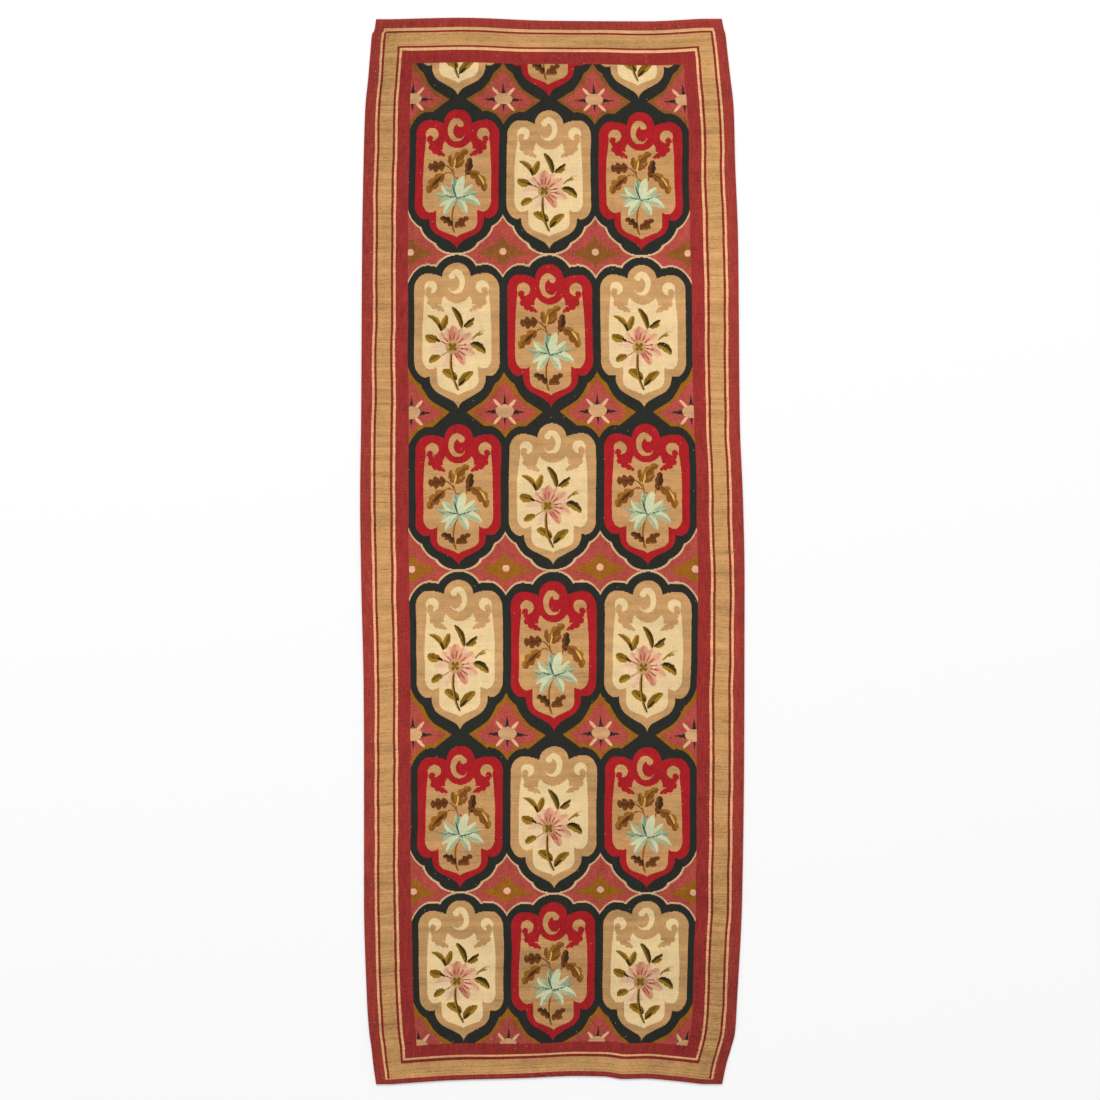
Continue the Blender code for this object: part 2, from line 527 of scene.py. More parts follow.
def group_of(name, inputs, outputs):
    """A new shader node group: its tree, its inputs by name, and a function that sets an output."""
    tree = bpy.data.node_groups.new(name, "ShaderNodeTree")
    kinds = {"number": "NodeSocketFloat", "colour": "NodeSocketColor", "vector": "NodeSocketVector"}
    for direction, entries in (("INPUT", inputs), ("OUTPUT", outputs)):
        for label, kind in entries.items():
            tree.interface.new_socket(label, in_out=direction, socket_type=kinds[kind])
    source = tree.nodes.new("NodeGroupInput")
    result = tree.nodes.new("NodeGroupOutput")
    taken = {
        label: Wire(tree, source.outputs[label]) if kind == "number" else source.outputs[label]
        for label, kind in inputs.items()
    }
    return tree, taken, lambda label, value: feed(tree, result.inputs[label], value)


def use(tree, group, **values):
    """Places a group in a tree and feeds its inputs, whose names have _ for a space."""
    node = tree.nodes.new("ShaderNodeGroup")
    node.node_tree = group
    for label, value in values.items():
        feed(tree, node.inputs[label.replace("_", " ").capitalize()], value)
    return node.outputs


def number(tree, outputs, label):
    return Wire(tree, outputs[label])


def map_parts(tree, name):
    """The two numbers of a UV map."""
    reader = tree.nodes.new("ShaderNodeUVMap")
    reader.uv_map = name
    parts = tree.nodes.new("ShaderNodeSeparateXYZ")
    tree.links.new(reader.outputs[0], parts.inputs[0])
    return Wire(tree, parts.outputs[0]), Wire(tree, parts.outputs[1])


def vector_of(tree, x, y, z=0.0):
    node = tree.nodes.new("ShaderNodeCombineXYZ")
    for entry, value in zip(node.inputs, (x, y, z)):
        feed(tree, entry, value)
    return node.outputs[0]


def random_of(tree, x, y=None):
    """A random number for each whole number, or pair of them."""
    node = tree.nodes.new("ShaderNodeTexWhiteNoise")
    node.noise_dimensions = "1D" if y is None else "2D"
    if y is None:
        feed(tree, node.inputs["W"], x)
    else:
        feed(tree, node.inputs["Vector"], vector_of(tree, x, y))
    return Wire(tree, node.outputs["Value"])


def cloud(tree, x, y, z=0.0, detail=2.0, colour=False):
    """Soft noise around one half, with features one unit across."""
    node = tree.nodes.new("ShaderNodeTexNoise")
    node.noise_dimensions = "3D"
    node.inputs["Scale"].default_value = 1.0
    node.inputs["Detail"].default_value = detail
    feed(tree, node.inputs["Vector"], vector_of(tree, x, y, z))
    if colour:
        return node.outputs["Color"]
    return Wire(tree, node.outputs["Fac"])


def weave_group(weave):
    """Where each pass of weft takes its colour from: the design, read once for each stitch."""
    tree, _, give = group_of(
        "Weave", {},
        {
            "Across": "number", "Along": "number", "Straight": "number", "Rib": "number",
            "Stitch": "number", "Hatch": "number",
        },
    )
    cloth_x, cloth_y = map_parts(tree, "cloth")
    design_x, design_y = map_parts(tree, "design")
    rib = (cloth_y / weave.rib).math("FLOOR")
    rib_random = random_of(tree, rib)
    row_y = (rib + 0.5) * weave.rib
    shifted = cloth_x + rib_random * weave.weft
    pick = (shifted / weave.weft).math("FLOOR")
    row_x = (pick + 0.5) * weave.weft
    stray = cloud(tree, row_x / 0.060, row_y / 0.060, colour=True)
    parts = tree.nodes.new("ShaderNodeSeparateColor")
    tree.links.new(stray, parts.inputs[0])
    stray_x = (Wire(tree, parts.outputs[0]) - 0.5) * (weave.wander * 4.0)
    stray_y = (Wire(tree, parts.outputs[1]) - 0.5) * (weave.wander * 4.0)
    give("Across", (design_x + (row_x - shifted) + stray_x) / MM)
    give("Along", (design_y + (row_y - cloth_y) + stray_y) / MM)
    give("Straight", (design_y + (row_y - cloth_y)) / MM)
    give("Rib", rib_random)
    give("Hatch", random_of(tree, (row_x / weave.hatch).math("FLOOR")))
    give("Stitch", random_of(tree, pick, rib))
    return tree


def leaf_group():
    """One woven leaf, petal or stem laid over the ground."""
    tree, take, give = group_of(
        "Woven leaf",
        {
            "Ground": "colour", "Place": "vector", "Base": "vector", "Tip": "vector",
            "Half width": "number", "Bend": "number", "Fullness": "number", "Lobes": "number",
            "Left": "colour", "Right": "colour",
        },
        {"Colour": "colour"},
    )

    def vector_math(operation, a, b):
        node = tree.nodes.new("ShaderNodeVectorMath")
        node.operation = operation
        feed(tree, node.inputs[0], a)
        feed(tree, node.inputs[1], b)
        return node.outputs["Value" if operation == "DOT_PRODUCT" else "Vector"]

    way = vector_math("SUBTRACT", take["Tip"], take["Base"])
    left_way = vector_math("CROSS_PRODUCT", Vector((0, 0, 1)), way)
    reach = Wire(tree, vector_math("DOT_PRODUCT", way, way))
    inside = vector_math("SUBTRACT", take["Place"], take["Base"])
    along = Wire(tree, vector_math("DOT_PRODUCT", inside, way)) / reach
    aside = Wire(tree, vector_math("DOT_PRODUCT", inside, left_way)) / reach.math("SQRT")
    arch = most(along * along.line(-4.0, 4.0), 0.0)
    bowed = aside - take["Bend"] * arch
    notch = abs((along * 8.5 - abs(bowed) * 0.05 + 0.5).math("SINE")) - 0.5
    width = take["Half width"] * (arch ** take["Fullness"]) * (notch * take["Lobes"] + 1.0)
    halves = paint(tree, take["Right"], bowed > 0.0, take["Left"])
    outward = abs(bowed) / most(width, 0.1)
    vein = (take["Lobes"] > 0.0) & (outward < 0.17) & (along < 0.8)
    rim = (outward > 0.70) & (take["Lobes"] < 0.01) & (take["Half width"] > 5.0)
    woven = paint(tree, halves, rim * 0.16, RIM_LIGHT)
    woven = paint(tree, woven, vein * 0.5, VEIN_DARK)
    give("Colour", paint(tree, take["Ground"], abs(bowed) < width, woven))
    return tree


def cartouche_group():
    """The distance outside a cartouche's outline, less than 0 inside it, in millimetres."""
    tree, take, give = group_of(
        "Cartouche distance",
        {"Across": "number", "Along": "number"},
        {"Distance": "number"},
    )
    x = abs(take["Across"])
    y = take["Along"]
    crown = y - 178.0 + square(x - 85.0) / 170.0
    base = -y - 119.5 + square(x - 98.0) / 100.0
    body = rounded_corner(x - 124.5, most(crown, base), 32.0)
    lobe = span(x, y - 168.0) - 41.0
    keel_slope = x * 0.486 - (y + 199.0) * 0.874
    keel = most(slanted_corner(x - 81.0, keel_slope, 0.486, 50.0), y)
    give("Distance", least(least(body, lobe), keel))
    return tree


def scroll_group():
    """Where the ground colour of the panel shows inside a cartouche, around its scrolls."""
    tree, take, give = group_of(
        "Scrolls",
        {"Across": "number", "Along": "number", "Turn": "number"},
        {"Panel": "number"},
    )
    x = take["Across"]
    y = take["Along"]
    side = abs(x)
    turn = take["Turn"]
    flank = side - 102.0 + square(most(y, 0.0)) * 0.0005
    waist = rounded_corner(flank, -y - 98.5 + square(side - 80.0) / 60.0, 22.0)
    slope = side * 0.361 - (y + 173.6) * 0.933
    well = most(slanted_corner(side - 61.0, slope, 0.361, 28.0), y)
    nib = (side < (most((y + 177.0) / 11.0, 0.0) ** 1.4) * 18.0) & (y < -166.0)
    panel = ((least(waist, well) < 0.0) | nib) & (y < 134.0)
    swag = disc(side, y, (0.0, 136.6), 45.0)
    leaf = ((side > 34.0) & (side < 78.0) & (y > 88.0)) | ((y > 114.0) & (side < 93.0))
    for centre, radius in LEAF_LOBES:
        leaf = leaf | disc(side, y, centre, radius)
    hollow = oval(side, y, (28.0, 93.0), (17.0, 24.0))
    panel = panel.without(swag | leaf.without(hollow))
    volute_y = y + turn * 2.2
    volute = disc(side, volute_y, (77.0, 137.0), 19.0)
    comma = disc(side, volute_y + turn * 1.8, (83.0, 126.5), 9.0)
    comma = comma | ((side > 76.0) & (side < 94.0) & (volute_y < 126.0))
    panel = panel | volute.without(comma)
    ring_x = x * turn + turn * 2.75
    ring_y = y + turn * 3.8
    ring = oval(ring_x, ring_y, (-2.3, 150.8), (25.0, 35.5))
    ring = ring.without(oval(ring_x, ring_y, (8.4, 147.3), (20.0, 24.0)))
    knob = disc(ring_x, ring_y, (11.0, 168.0), 9.5)
    tail = disc(ring_x, ring_y, (0.0, 138.3), 23.0).without(disc(ring_x, ring_y, (0.5, 140.5), 21.8))
    give("Panel", panel | ring | knob | (tail & (ring_y < 133.0)))
    return tree


def junction_group(cartouche):
    """The black bands and what lies between four cartouches: a rosette on a star, or a dot."""
    tree, take, give = group_of(
        "Between cartouches",
        {
            "Across": "number", "Along": "number", "Distance": "number", "Hatch": "number",
            "Star above": "number", "Black": "colour", "Rose": "colour", "Gold": "colour",
            "Hairline": "colour", "Rosette": "colour", "Arm": "colour",
        },
        {"Colour": "colour"},
    )
    x = abs(take["Across"])
    y = take["Along"]
    upper = y > 0.0
    pitch = TILE_TOP - TILE_FOOT
    beyond = y + upper.line(-2.0 * pitch, pitch)
    next_one = number(tree, use(tree, cartouche, across=take["Across"], along=beyond), "Distance")
    star = abs(upper - take["Star above"]) < 0.5
    dot = star.line(-1.0, 1.0)
    jx = abs(x.line(-1.0, TILE_HALF_WIDTH))
    jy = y - upper.line(pitch, TILE_FOOT)
    far = least(take["Distance"], dot.line(1000.0, next_one))
    foot = (span(x / 62.0, (jy - 37.0) / 39.0) - 1.0) * 45.0 + 26.0
    far = least(far, star.line(1000.0, foot))
    crown_y = y + upper.line(-pitch, 300.0)
    crown = span(x, crown_y) - 41.0 - 7.0
    knot = span(x, jy + 1.0) + 5.5
    notch = (x - 25.0) * upper.line(0.16, 0.62) + square(most(x - 70.0, 0.0)) * 0.02
    notch = notch - abs(jy) + 26.0
    far = least(far, dot.line(1000.0, least(crown, least(knot, notch))))
    ragged = take["Hatch"] - 0.5

    # The star: gold edge, rose ground, black spikes and a tan rosette with four arms
    gold_edge = most(jy - 40.0, 0.0) * 0.10 + 38.5 + ragged * 9.0
    streak = cloud(tree, take["Across"] / 16.0, y / 3.2, z=20.0) > 0.52
    rose = paint(tree, take["Rose"], streak * 0.24, ROSE_LIGHT)
    star_ground = paint(tree, rose, far < gold_edge, take["Gold"])
    across_spike = (abs(jy) < jx.line(-0.186, 11.4)) & (jx > 20.0)
    up_spike = (jx < jy.line(-0.17, 9.2)) & (jy > 0.0)
    down_spike = (jx < jy.line(0.16, 6.6)) & (jy < 0.0)
    star_ground = paint(tree, star_ground, across_spike | up_spike | down_spike, take["Black"])
    out = jx * 0.68 + abs(jy - 1.0) * 0.733
    aside = jx * 0.733 - abs(jy - 1.0) * 0.68
    star_ground = paint(tree, star_ground, oval(out, aside, (31.0, 0.0), (17.5, 4.5)), take["Arm"])
    rosette = oval(jx, jy, (0.0, 3.0), (27.0, 18.0))
    star_ground = paint(tree, star_ground, rosette, take["Rosette"])

    # The dot: pale outline, rose ground, a four-pointed star and the dot on it
    long_x = jx / 86.0
    point_y = abs(jy + 3.0) / (jy > -3.0).line(18.0, 38.0)
    reach = (long_x ** 0.7) + (point_y ** 0.7) + ragged * 0.2
    dot_ground = paint(tree, rose, reach < 1.0, take["Gold"])
    dot_ground = paint(tree, dot_ground, disc(jx, jy, (0.0, 3.0), 15.5) * 0.5, take["Rose"])
    dot_ground = paint(tree, dot_ground, disc(jx, jy, (0.0, 3.0), 10.5), take["Arm"])
    dot_ground = paint(tree, dot_ground, far < 31.6, take["Hairline"])

    ground = paint(tree, dot_ground, star, star_ground)
    give("Colour", paint(tree, ground, far < 26.0, take["Black"]))
    return tree


def finish_group(weave):
    """Yarn tones, puckers with painted shade along them, painted shade in grooves, painted light fall-off,
    lint and the ribs' height, over a flat colour.
    """
    tree, take, give = group_of(
        "Yarn finish",
        {"Colour": "colour", "Rib": "number", "Stitch": "number", "Pucker": "number"},
        {"Colour": "colour", "Roughness": "number", "Height": "number"},
    )
    x, y = map_parts(tree, "cloth")
    light = tree.nodes.new("ShaderNodeRGBToBW")
    tree.links.new(take["Colour"], light.inputs[0])
    pale = Wire(tree, light.outputs[0])
    tan = ramp((pale - 0.18) * 8.0)
    calm = ramp((pale - 0.45) * 6.0)
    plain = take["Pucker"] - tan * 0.9
    passes = (cloud(tree, x / 0.011, y / 0.0034) - 0.5) * (tan * 0.10 - calm * 0.25 + 0.65)
    passes = passes * (take["Pucker"] * 0.6 + 0.30)
    ribbed = (take["Rib"] - 0.5) * cloud(tree, x / 0.09, y / 0.05, z=22.0) * (tan * 0.38 - calm * 0.28 + 0.15)
    ribbed = ribbed * (take["Pucker"] * 0.8 + 0.1)
    blotch = (cloud(tree, x / 0.025, y / 0.060, z=16.0) - 0.5) * (tan * -0.2 + 0.42)
    ribs = (cloud(tree, x / 0.0040, y / 0.045, z=2.0, detail=1.0) - 0.5) * most(plain, 0.1)
    # Painted shade: faint dark lines across the tan yarns stand in for shade in fine grooves
    groove_shade = most(cloud(tree, x / 0.034, y / 0.0030, z=12.0, detail=1.0) - 0.60, 0.0)
    groove_shade = groove_shade * (tan - calm) * take["Pucker"]
    patch = cloud(tree, x / 0.35, y / 0.12, z=4.0) - 0.5
    abrash = (cloud(tree, x / 0.15, y / 0.026, z=14.0) - 0.5) * (tan * 1.3 - calm + 0.4)
    tint = (cloud(tree, x / 0.040, y / 0.010, z=6.0) - 0.5) * (tan * 0.3 - calm * 0.15 + 0.15)
    # Painted shade: the pucker lines darken the colour as well as lowering the height
    pucker_line = cloud(tree, x / 0.060, y / 0.0046, z=9.0, detail=1.0)
    pucker = most(pucker_line - 0.64, 0.0) * 2.4 * take["Pucker"]

    # Painted light fall-off: the colours are darker towards both ends, most at the bottom, and paler on the
    # right near the top
    low = ramp((-y - 0.45) * 0.90) * 0.24
    high = ramp((y - 0.80) * 1.6) * 0.10
    lean = x * least(most(y * 1.2, -0.3), 1.0) * 0.15
    painted_falloff = lean - (low + high) * (calm * -0.5 + 1.0)
    tone = (take["Stitch"] - 0.5) * (tan * -0.30 + 0.48) + ribbed + blotch + patch * 0.30 + passes
    tone = tone + most(ribs, -0.25) * 0.7 + abrash * 0.38 - groove_shade * 1.7 - pucker + painted_falloff + 1.02
    toned = tree.nodes.new("ShaderNodeVectorMath")
    toned.operation = "MULTIPLY"
    feed(tree, toned.inputs[0], take["Colour"])
    feed(tree, toned.inputs[1], vector_of(tree, tone + tint * 0.30, tone, tone - tint * 0.70))
    lint = tree.nodes.new("ShaderNodeTexVoronoi")
    lint.voronoi_dimensions = "2D"
    lint.inputs["Scale"].default_value = 26.0
    feed(tree, lint.inputs["Vector"], vector_of(tree, x, y))
    picked = tree.nodes.new("ShaderNodeSeparateColor")
    tree.links.new(lint.outputs["Color"], picked.inputs[0])
    fleck = (Wire(tree, lint.outputs["Distance"]) < 0.032) & (Wire(tree, picked.outputs[0]) > 0.85)
    give("Colour", paint(tree, toned.outputs[0], fleck * 0.5, (0.62, 0.56, 0.48)))
    give("Roughness", (take["Stitch"] - 0.5) * 0.10 + 0.90)
    rib_round = abs((y / weave.rib * pi).math("SINE"))
    weft_round = abs((x / weave.weft * pi).math("SINE"))
    give("Height", (rib_round ** 0.5) * 0.7 + weft_round * 0.2 + take["Stitch"] * 0.2 - pucker)
    return tree


def cloth_material(name, draw, groups, pucker):
    """A woven material: draw(tree, weave) gives its flat colour, and the yarn finish does the rest. The last
    number sets the strength of the puckers with their painted shade, the painted groove shade and some yarn
    tones.
    """
    material = bpy.data.materials.new(name)
    material.use_nodes = True
    tree = material.node_tree
    shader = tree.nodes["Principled BSDF"]
    weave = use(tree, groups["weave"])
    flat = draw(tree, weave)
    finish = use(
        tree, groups["finish"], colour=flat, rib=weave["Rib"], stitch=weave["Stitch"], pucker=pucker,
    )
    bump = tree.nodes.new("ShaderNodeBump")
    bump.inputs["Strength"].default_value = 0.5
    bump.inputs["Distance"].default_value = 0.0006
    tree.links.new(finish["Height"], bump.inputs["Height"])
    tree.links.new(bump.outputs["Normal"], shader.inputs["Normal"])
    tree.links.new(finish["Colour"], shader.inputs["Base Color"])
    tree.links.new(finish["Roughness"], shader.inputs["Roughness"])
    shader.inputs["Specular IOR Level"].default_value = 0.10
    shader.inputs["Sheen Weight"].default_value = 0.03
    shader.inputs["Sheen Roughness"].default_value = 0.6
    return material


def draw_border(yarns):
    """The striped frame, by its distance from the nearest edge."""
    ends = column(BANDS, BAND_COLUMNS, "side")
    colours = (
        yarns.pale_line, yarns.dark_line, yarns.border_tan, yarns.dark_line, yarns.pale_line,
        yarns.inner_red,
    )

    def draw(tree, weave):
        across = number(tree, weave, "Across")
        along = number(tree, weave, "Along")
        from_end = abs(number(tree, weave, "Straight")).line(-1.0, LENGTH / 2 / MM)
        away = ramp((from_end - 110.0) / 120.0)
        waver = (cloud(tree, across / 400.0, along / 27.0, z=18.0, detail=1.0) - 0.5) * away
        from_side = abs(across).line(-1.0, WIDTH / 2 / MM) + waver * 17.0
        inward = least(from_side, from_end)
        ground = yarns.outer_red
        for end, colour in zip(ends, colours):
            ground = paint(tree, ground, inward > end / MM, colour)
        return ground

    return draw


def draw_cartouche(groups, yarns, band, panel, swell, turn, spray, flower):
    """A tile of the field: its bands, its panel and the spray on it."""

    def draw(tree, weave):
        across = number(tree, weave, "Across")
        along = number(tree, weave, "Along")
        codes = {name: linear(code) for name, code in YARN_CODES.items()}
        codes["cream"] = yarns.cream
        star = tree.nodes.new("ShaderNodeAttribute")
        star.attribute_name = "star_above"
        _, cloth_y = map_parts(tree, "cloth")
        gold = paint(tree, yarns.gold, cloth_y > UMBER_ABOVE, yarns.umber)
        distance = number(
            tree, use(tree, groups["cartouche"], across=across, along=along), "Distance",
        )
        ground = use(
            tree, groups["junction"], across=across, along=along, distance=distance,
            hatch=weave["Hatch"], star_above=star.outputs["Fac"], black=yarns.black,
            rose=yarns.rose, gold=gold, hairline=yarns.hairline,
            rosette=codes["rosette"], arm=codes["arm"],
        )["Colour"]
        point = most((along + 215.0) / 37.0, 0.0) ** 1.8
        tip = (abs(across) < point * 36.0) & (along < -178.0)
        ground = paint(tree, ground, (distance < swell) | tip, band)
        scrolls = use(
            tree, groups["scroll"], across=across, along=along, turn=turn,
        )
        ground = paint(tree, ground, scrolls["Panel"], panel)
        place = vector_of(tree, across, along)
        for row in spray:
            leaf = dict(zip(LEAF_COLUMNS, row))
            ground = use(
                tree, groups["leaf"], ground=ground, place=place,
                base=(leaf["base_x"], leaf["base_y"], 0.0), tip=(leaf["tip_x"], leaf["tip_y"], 0.0),
                half_width=leaf["half_width"], bend=leaf["bend"], fullness=leaf["fullness"],
                lobes=leaf["lobes"], left=codes[leaf["left"]], right=codes[leaf["right"]],
            )["Colour"]
        if flower:
            ground = paint(tree, ground, disc(across, along, FLOWER_MIDDLE, FLOWER_RADIUS), codes["sand"])
            x = abs(across - FLOWER_MIDDLE[0])
            y = abs(along - FLOWER_MIDDLE[1])
            core = (span(x - 6.0, y - 6.0) < 5.4) | (span(x, y) < 5.0)
            ground = paint(tree, ground, core, codes["olive"])
        return ground

    return draw


def spread(knots, step):
    """Places at every knot and at even steps of about the given size between them."""
    places = []
    for start, end in zip(knots, knots[1:]):
        count = max(1, round((end - start) / step))
        places += [start + (end - start) * i / count for i in range(count)]
    return np.array([*places, knots[-1]])


def hem_height(distance):
    """The top face's height at a distance from the nearest edge."""
    return float(np.interp(distance, HEM_PLACES, HEM_HEIGHTS))


def cockle_height(x, y, rise):
    """Shallow puckers across the cloth, stronger towards its sides."""
    ripple = noise.noise(Vector((x * 5.0, y * 26.0, 1.5)))
    swell = noise.noise(Vector((x * 2.2, y * 3.5, 7.5)))
    sides = min(1.0, abs(x) / 0.45) ** 2
    return rise * (0.45 + 0.55 * swell + 0.45 * sides * ripple)


def tile_rows():
    """The knots along the field from the top end down: place, tile row and tile height there."""
    field_top = BANDS[-1][BAND_COLUMNS.index("top")]
    field_foot = LENGTH - BANDS[-1][BAND_COLUMNS.index("bottom")]
    knots = []
    for row, (crown, tip) in enumerate(ROWS):
        gap_after = (ROWS[row + 1][0] - tip) if row + 1 < len(ROWS) else 0.0455
        gap_before = (crown - ROWS[row - 1][1]) if row else 0.0455
        lead = (TILE_TOP - TILE_CROWN) / (TILE_TOP - TILE_CROWN + TILE_TIP - TILE_FOOT)
        knots.append((
            row,
            (crown - gap_before * lead, crown, tip, tip + gap_after * (1 - lead)),
            (TILE_TOP, TILE_CROWN, TILE_TIP, TILE_FOOT),
        ))
    return field_top, field_foot, knots


def sheet_grid(step):
    """The sheet's columns and rows, each with where the border's bands and the tiles lie."""
    far_hem = [WIDTH - place for place in reversed(HEM_PLACES)]
    border = BANDS[-1][BAND_COLUMNS.index("side")]
    tiles = [WIDTH / 2 + COLUMN_PITCH * (i - COLUMNS / 2) for i in range(COLUMNS + 1)]
    across = [*HEM_PLACES, border, *tiles[1:-1], WIDTH - border, *far_hem]
    field_top, field_foot, knots = tile_rows()
    down = {*HEM_PLACES, *(LENGTH - place for place in HEM_PLACES), field_top, field_foot}
    down |= set(column(BANDS, BAND_COLUMNS, "top"))
    down |= {LENGTH - place for place in column(BANDS, BAND_COLUMNS, "bottom")}
    for _, places, _ in knots:
        down |= {place for place in places if field_top < place < field_foot}
    down = sorted(down)
    down = [down[0]] + [b for a, b in zip(down, down[1:]) if b - a > 1e-4]
    return spread(across, step), spread(down, step), border, field_top, field_foot, knots


def border_reading(place, total, near, far, far_start=0.0):
    """Where a place lies in the border's frame, from the cloth's middle, by the columns near and far."""
    sides = column(BANDS, BAND_COLUMNS, "side")
    if place < total / 2:
        near_bands = [0.0, *column(BANDS, BAND_COLUMNS, near)]
        return total / 2 - float(np.interp(place, near_bands, [0.0, *sides]))
    far_bands = [0.0, *column(BANDS, BAND_COLUMNS, far)]
    return float(np.interp(total - place, far_bands, [far_start, *sides])) - total / 2


def drift_reader():
    """A function that says how far the pattern strays at a place: to the right and down."""
    right, *downs = [
        curve_of(DRIFT, DRIFT_COLUMNS, "from_top", name)
        for name in ("right", "left_down", "middle_down", "right_down")
    ]
    middles = (-COLUMN_PITCH, 0.0, COLUMN_PITCH)

    def read(x, from_top, nearest):
        field = min(max((nearest - 0.05) / 0.09, 0.0), 1.0)
        inner = min(nearest / 0.03, 1.0)
        wave_x = noise.noise(Vector((x * 3.0, from_top * 8.0, 3.3))) * 3.0
        wave_y = noise.noise(Vector((x * 7.0, from_top * 3.0, 5.5))) * 2.0
        down = float(np.interp(x, middles, [read_down(from_top) for read_down in downs]))
        return (right(from_top) * field + wave_x * inner) * MM, (down * field + wave_y * inner) * MM

    return read


def outline():
    """Functions for the left and right sides and the top and bottom ends, as in the solid."""
    left = curve_of(SIDES, SIDE_COLUMNS, "along", "left")
    right = curve_of(SIDES, SIDE_COLUMNS, "along", "right")
    top = curve_of(TOP_END, TOP_COLUMNS, "across", "top")
    bottom = curve_of(BOTTOM_END, BOTTOM_COLUMNS, "across", "bottom")
    return left, right, top, bottom


def upper_points(across, down, cockle):
    """The upper face's points, row by row from the top end."""
    left, right, top, bottom = outline()
    drift = drift_reader()
    points = []
    for from_top in down:
        for from_left in across:
            nominal_x = from_left - WIDTH / 2
            nominal_y = LENGTH / 2 - from_top
            left_x = -left(nominal_y)
            top_y = top(nominal_x)
            x = left_x + (right(nominal_y) - left_x) * from_left / WIDTH
            y = top_y - (top_y - bottom(nominal_x)) * from_top / LENGTH
            nearest = min(from_left, WIDTH - from_left, from_top, LENGTH - from_top)
            lift = cockle_height(x, y, cockle) * min(1.0, nearest / 0.03)
            right_by, down_by = drift(nominal_x, from_top, nearest)
            points.append((x + right_by, y - down_by, hem_height(nearest) + lift))
    return points


def sheet_faces(wide, tall):
    """The faces of both sides and the rim, and the grid cell that each one lies in."""
    faces = []
    for j in range(tall - 1):
        for i in range(wide - 1):
            a = j * wide + i
            faces.append((a, a + wide, a + wide + 1, a + 1))
    under = wide * tall
    cells = [*range(len(faces)), *range(len(faces))]
    faces += [tuple(under + point for point in reversed(face)) for face in faces]
    for i in range(wide - 1):
        low = (tall - 1) * wide + i
        faces.append((i + 1, i, under + i, under + i + 1))
        faces.append((low, low + 1, under + low + 1, under + low))
        cells += [i, (tall - 2) * (wide - 1) + i]
    for j in range(tall - 1):
        a = j * wide
        b = a + wide - 1
        faces.append((a, a + wide, under + a + wide, under + a))
        faces.append((b + wide, b, under + b, under + b + wide))
        cells += [j * (wide - 1), (j + 1) * (wide - 1) - 1]
    return faces, cells


def pattern_cells(across, down, border, field_top, field_foot, knots):
    """Each cell's material, whether stars lie above it, and where its corners are in the design."""
    frame_x = [-border_reading(place, WIDTH, "side", "side") for place in across]
    frame_y = [border_reading(place, LENGTH, "top", "bottom", BOTTOM_EDGE_BAND) for place in down]
    wide = len(across) - 1
    tall = len(down) - 1
    slots = np.zeros(wide * tall, dtype=int)
    stars = np.zeros(wide * tall)
    design = {}
    first_tile = WIDTH / 2 - COLUMN_PITCH * COLUMNS / 2
    for j in range(tall):
        middle_y = (down[j] + down[j + 1]) / 2
        in_rows = field_top < middle_y < field_foot
        row, places, heights = next((k for k in knots if k[1][0] <= middle_y <= k[1][3]), knots[-1])
        tile_y = {q: float(np.interp(down[q], places, heights)) * MM for q in (j, j + 1)}
        for i in range(wide):
            middle_x = (across[i] + across[i + 1]) / 2
            cell = j * wide + i
            if in_rows and border < middle_x < WIDTH - border:
                tile = int(min(max((middle_x - first_tile) // COLUMN_PITCH, 0), COLUMNS - 1))
                slots[cell] = 1 if (row + tile) % 2 else 2
                stars[cell] = row % 2
                centre = first_tile + COLUMN_PITCH * (tile + 0.5)
                for p in (i, i + 1):
                    tile_x = (across[p] - centre) * (2 * TILE_HALF_WIDTH / COLUMN_PITCH) * MM
                    for q in (j, j + 1):
                        design[cell, p, q] = (tile_x, tile_y[q])
            else:
                for p in (i, i + 1):
                    for q in (j, j + 1):
                        design[cell, p, q] = (frame_x[p], frame_y[q])
    return slots, stars, design


def write_maps(mesh, across, down, cells, design):
    """The cloth's own places, the design's places and the map to bake on, for each face corner."""
    wide = len(across)
    cloth_values = np.zeros((len(mesh.loops), 2))
    design_values = np.zeros((len(mesh.loops), 2))
    for polygon, cell in zip(mesh.polygons, cells):
        j, i = divmod(cell, wide - 1)
        for loop in polygon.loop_indices:
            q, p = divmod(mesh.loops[loop].vertex_index % (wide * len(down)), wide)
            cloth_values[loop] = (across[p] - WIDTH / 2, LENGTH / 2 - down[q])
            design_values[loop] = design[cell, min(max(p, i), i + 1), min(max(q, j), j + 1)]
    bake_values = (cloth_values + (WIDTH / 2, LENGTH / 2)) / LENGTH * 0.98 + 0.01
    for name, values in (("cloth", cloth_values), ("design", design_values), ("OFBake", bake_values)):
        mesh.uv_layers.new(name=name)
        mesh.uv_layers[name].data.foreach_set("uv", values.ravel())


class OBJECT_OT_runner_cloth(bpy.types.Operator):
    """Lay the woven runner on its outline"""

    bl_idname = "object.runner_cloth"
    bl_label = "Runner cloth"

    def execute(self, context):
        weave = context.scene.runner_weave
        across, down, border, field_top, field_foot, knots = sheet_grid(weave.mesh_step)
        wide = len(across)
        tall = len(down)
        upper = upper_points(across, down, weave.cockle)
        under = [(x, y, 0.0) for x, y, _ in upper]
        faces, cells = sheet_faces(wide, tall)
        mesh = bpy.data.meshes.new("woven runner")
        mesh.from_pydata(upper + under, [], faces)
        slots, stars, design = pattern_cells(across, down, border, field_top, field_foot, knots)
        write_maps(mesh, across, down, cells, design)
        star_map = mesh.attributes.new("star_above", "FLOAT", "FACE")
        star_map.data.foreach_set("value", stars[cells])
        mesh.polygons.foreach_set("material_index", slots[cells])
        mesh.polygons.foreach_set("use_smooth", np.ones(len(mesh.polygons), dtype=bool))
        for material in runner_materials(weave, context.scene.runner_yarns):
            mesh.materials.append(material)
        mesh.update()

        cloth = bpy.data.objects.new("woven_runner", mesh)
        context.scene.collection.objects.link(cloth)
        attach(cloth, "root")
        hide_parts("runner")
        return {"FINISHED"}


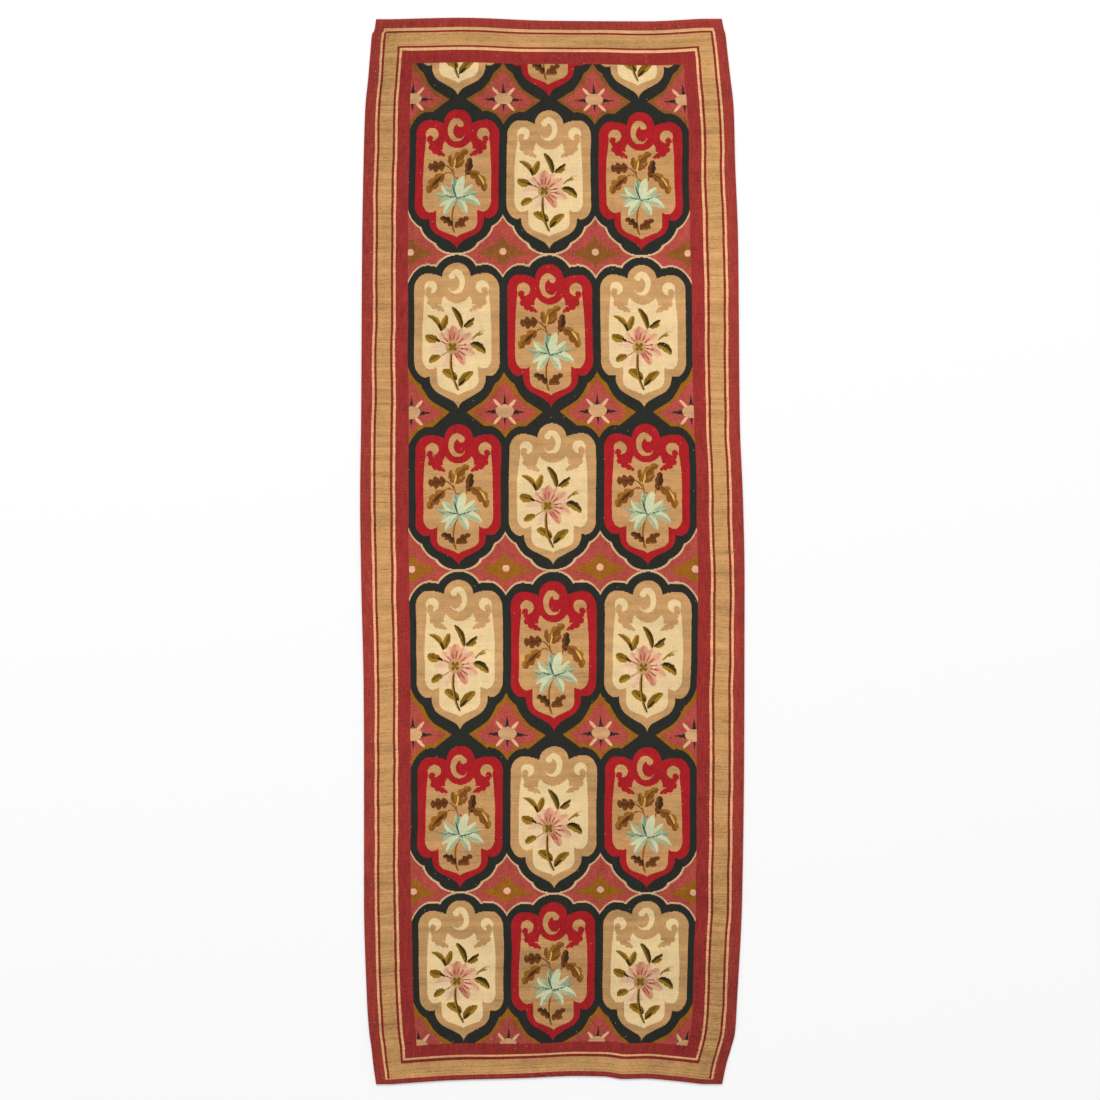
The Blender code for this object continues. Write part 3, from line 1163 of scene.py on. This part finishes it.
def runner_materials(weave, yarns):
    """The border, the red cartouches and the cream cartouches."""
    groups = {
        "weave": weave_group(weave),
        "leaf": leaf_group(),
        "cartouche": cartouche_group(),
        "scroll": scroll_group(),
        "finish": finish_group(weave),
    }
    groups["junction"] = junction_group(groups["cartouche"])
    red = draw_cartouche(
        groups, yarns, yarns.crimson, yarns.panel_tan, 0.0, 1.0, BLUE_SPRAY, False,
    )
    cream = draw_cartouche(
        groups, yarns, yarns.band_tan, yarns.cream, 1.5, -1.0, PINK_SPRAY, True,
    )
    return (
        cloth_material("woven wool, border", draw_border(yarns), groups, 1.0),
        cloth_material("woven wool, red cartouches", red, groups, 0.5),
        cloth_material("woven wool, cream cartouches", cream, groups, 0.3),
    )


class OBJECT_OT_runner_stage(bpy.types.Operator):
    """Set the pale floor, the soft lights and the camera overhead"""

    bl_idname = "object.runner_stage"
    bl_label = "Runner stage"

    def execute(self, context):
        stage = context.scene.runner_stage
        bpy.ops.object.select_all(action="DESELECT")
        bpy.ops.mesh.primitive_plane_add(size=FLOOR_SIZE, location=(0.0, 0.0, -FLOOR_DROP))
        floor = context.object
        floor.name = "floor"
        bpy.ops.object.transform_apply(location=True)
        paper = bpy.data.materials.new("pale floor")
        paper.use_nodes = True
        shader = paper.node_tree.nodes["Principled BSDF"]
        shader.inputs["Base Color"].default_value = (0.98, 0.98, 0.98, 1.0)
        shader.inputs["Roughness"].default_value = 0.9
        shader.inputs["Specular IOR Level"].default_value = 0.1
        floor.data.materials.append(paper)

        lamp = bpy.data.lights.new("soft light", "AREA")
        lamp.shape = "RECTANGLE"
        lamp.size, lamp.size_y = LAMP_SIZE
        lamp.energy = stage.soft_light
        holder = bpy.data.objects.new("soft light", lamp)
        holder.location = LAMP_PLACE
        holder.rotation_euler = (-holder.location).to_track_quat("-Z", "Y").to_euler()
        context.scene.collection.objects.link(holder)

        world = bpy.data.worlds.new("soft room")
        world.use_nodes = True
        sky = world.node_tree.nodes["Background"]
        sky.inputs["Color"].default_value = (1.0, 1.0, 1.0, 1.0)
        sky.inputs["Strength"].default_value = stage.sky
        context.scene.world = world
        context.scene.view_settings.view_transform = "Standard"

        camera = bpy.data.cameras.new("camera overhead")
        camera.sensor_width = SENSOR_WIDTH
        camera.lens = camera.sensor_width * stage.camera_height / stage.view_width
        eye = bpy.data.objects.new("camera overhead", camera)
        eye.location = (*CAMERA_PLACE, stage.camera_height)
        context.scene.collection.objects.link(eye)
        context.scene.camera = eye
        return {"FINISHED"}


class VIEW3D_PT_runner(bpy.types.Panel):
    """Sizes, yarns and steps of the runner"""

    bl_label = "Aubusson runner"
    bl_idname = "VIEW3D_PT_runner"
    bl_space_type = "VIEW_3D"
    bl_region_type = "UI"
    bl_category = "Runner"

    def draw(self, context):
        layout = self.layout
        for group in (context.scene.runner_weave, context.scene.runner_yarns, context.scene.runner_stage):
            box = layout.box()
            for name in group.__annotations__:
                box.prop(group, name)
        layout.operator(OBJECT_OT_runner_cloth.bl_idname)
        layout.operator(OBJECT_OT_runner_stage.bl_idname)


CLASSES = (
    RunnerYarns, RunnerWeave, RunnerStage,
    OBJECT_OT_runner_cloth, OBJECT_OT_runner_stage, VIEW3D_PT_runner,
)


def register():
    for each in CLASSES:
        bpy.utils.register_class(each)
    bpy.types.Scene.runner_yarns = PointerProperty(type=RunnerYarns)
    bpy.types.Scene.runner_weave = PointerProperty(type=RunnerWeave)
    bpy.types.Scene.runner_stage = PointerProperty(type=RunnerStage)


def unregister():
    del bpy.types.Scene.runner_stage
    del bpy.types.Scene.runner_weave
    del bpy.types.Scene.runner_yarns
    for each in reversed(CLASSES):
        bpy.utils.unregister_class(each)


def main():
    register()
    bpy.ops.object.runner_stage()
    bpy.ops.object.runner_cloth()


if __name__ == "__main__":
    main()
